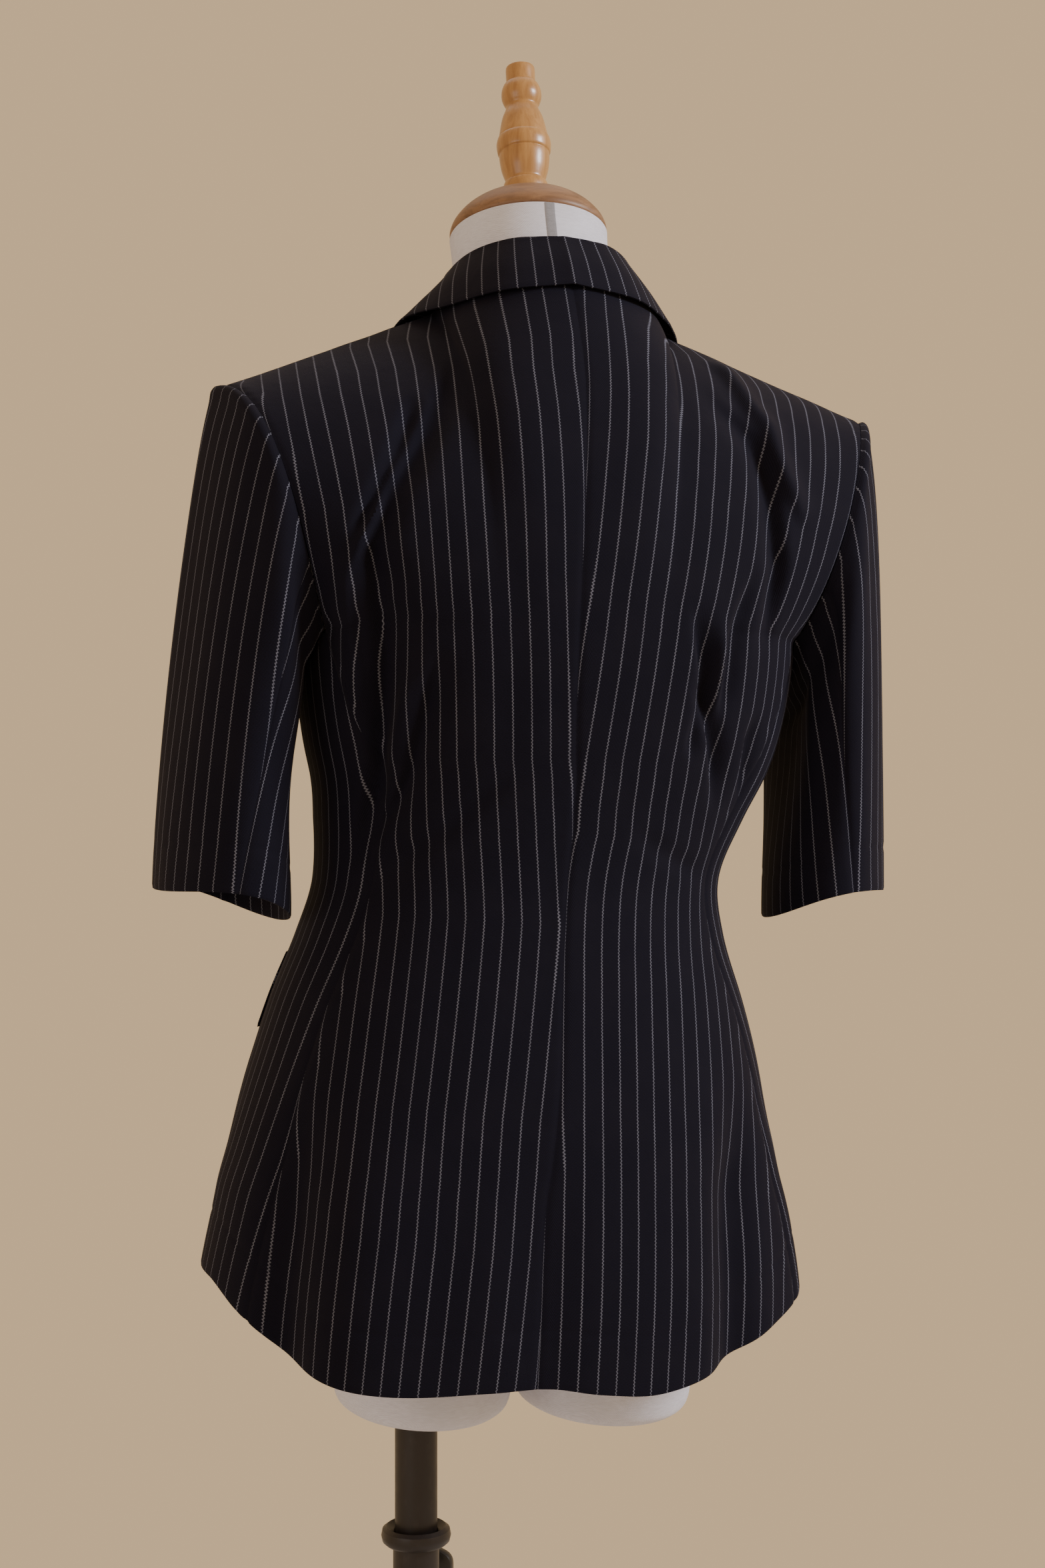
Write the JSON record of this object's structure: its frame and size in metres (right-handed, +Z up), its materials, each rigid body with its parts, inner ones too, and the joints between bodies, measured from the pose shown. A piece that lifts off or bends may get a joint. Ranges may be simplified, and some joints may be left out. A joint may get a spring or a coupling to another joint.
{
  "type": "suit jacket on a dress form",
  "caption": "Short-sleeved tailored suit jacket in dark pinstripe cloth, worn by a limbless dress form on a height-adjustable pole stand with a round base.",
  "frame": {"origin": "middle of the round base plate's underside, on the floor", "axes": "+Z up; the form faces -Y; the wearer's left is +X"},
  "size_m": [0.5007, 0.34, 1.6157],
  "materials": {
    "pinstripe_cloth": "matte worsted twill with a fine pale pinstripe",
    "button": "satin horn-like resin",
    "form_cover": "matte off-white cotton cover",
    "cap_wood": "varnished, reddish",
    "turned_wood": "glossy varnish, honey coloured",
    "stand_steel": "satin dark brown-black enamel",
    "knob": "moulded, satin"
  },
  "bodies": {
    "stand": {"base_plate": "stand_steel", "base_socket": "stand_steel", "lower_tube": "stand_steel", "clamp_ring": "stand_steel", "clamp_boss": "stand_steel"},
    "riser": {"upper_tube": "stand_steel"},
    "form": {"form_torso": "form_cover", "neck_cap": "cap_wood", "finial": "turned_wood", "back_left": "pinstripe_cloth", "back_right": "pinstripe_cloth", "side_left": "pinstripe_cloth", "side_right": "pinstripe_cloth", "front_left": "pinstripe_cloth", "front_right": "pinstripe_cloth", "lapel_left": "pinstripe_cloth", "lapel_right": "pinstripe_cloth", "collar": "pinstripe_cloth", "sleeve_top_left": "pinstripe_cloth", "sleeve_top_right": "pinstripe_cloth", "sleeve_under_left": "pinstripe_cloth", "sleeve_under_right": "pinstripe_cloth", "pocket_flap_left": "pinstripe_cloth", "pocket_flap_right": "pinstripe_cloth", "button_1": "button", "button_2": "button", "button_3": "button"},
    "knob": {"clamp_knob": "knob"}
  },
  "joints": [
    {"name": "height_slide", "type": "slide", "parent": "stand", "child": "riser", "axis": [0, 0, 1], "range_m": [-0.05, 0.25]},
    {"name": "form_turn", "type": "hinge", "parent": "riser", "child": "form", "pos_m": [0.0585, 0, 0.7015], "axis": [0, 0, 1], "continuous": true},
    {"name": "knob_turn", "type": "hinge", "parent": "stand", "child": "knob", "pos_m": [0.04851, -0.02049, 0.581], "axis": [-0.4384, -0.8988, 0], "continuous": true}
  ]
}
